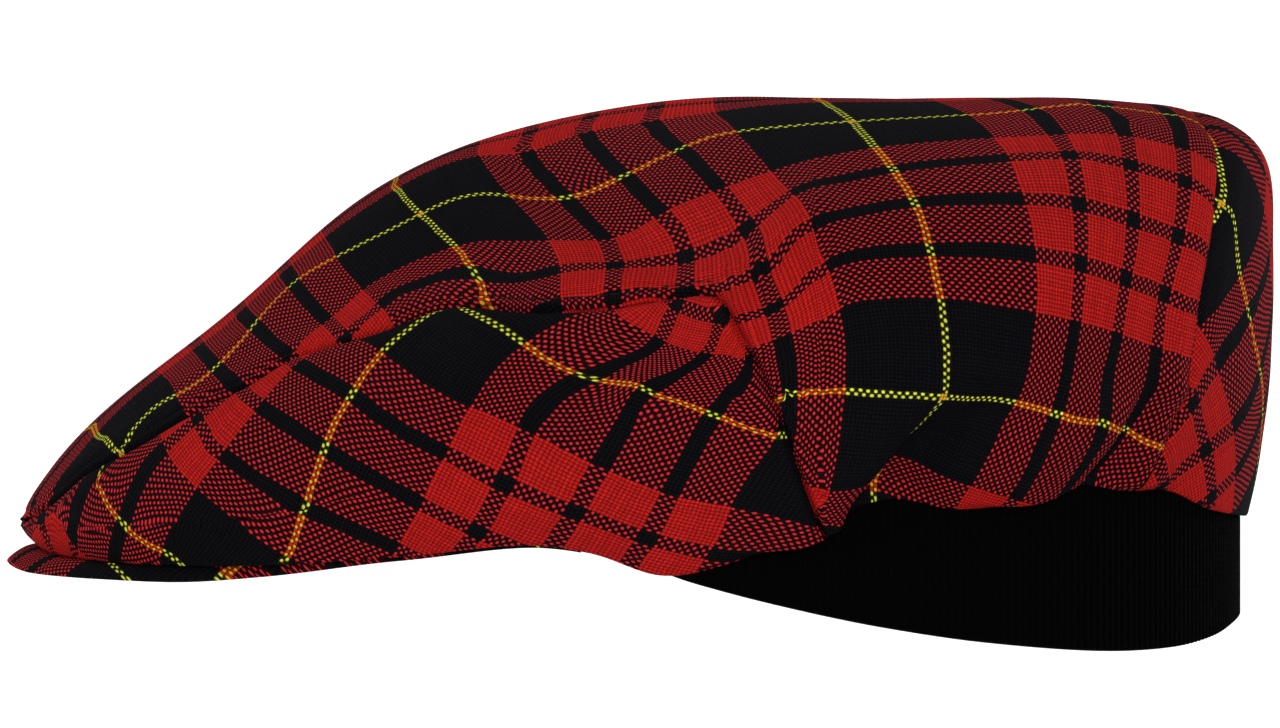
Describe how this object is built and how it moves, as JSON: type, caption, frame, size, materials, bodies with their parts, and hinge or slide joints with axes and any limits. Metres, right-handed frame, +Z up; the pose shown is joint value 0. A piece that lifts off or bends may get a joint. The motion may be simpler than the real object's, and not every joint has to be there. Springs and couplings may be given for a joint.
{
  "type": "flat cap",
  "caption": "Tartan wool flat cap with a sloping crown, a short hidden peak and a knitted ear flap hanging below the back of the rim.",
  "frame": {"origin": "centre of the head opening, level with the crown's rim, where the head sits", "axes": "+X towards the back of the cap, with the peak at -X; +Z up through the crown; +Y to the wearer's right"},
  "size_m": [0.2806, 0.2268, 0.1219],
  "materials": {
    "tartan_cloth": "red, black and yellow plain-weave tartan wool, matt",
    "rib_knit": "near-black fine rib knit, matt"
  },
  "bodies": {
    "root": {"crown_top": "tartan_cloth", "front_side_left": "tartan_cloth", "front_side_right": "tartan_cloth", "back_panel": "tartan_cloth", "peak": "tartan_cloth", "ear_flap": "rib_knit"}
  },
  "joints": []
}
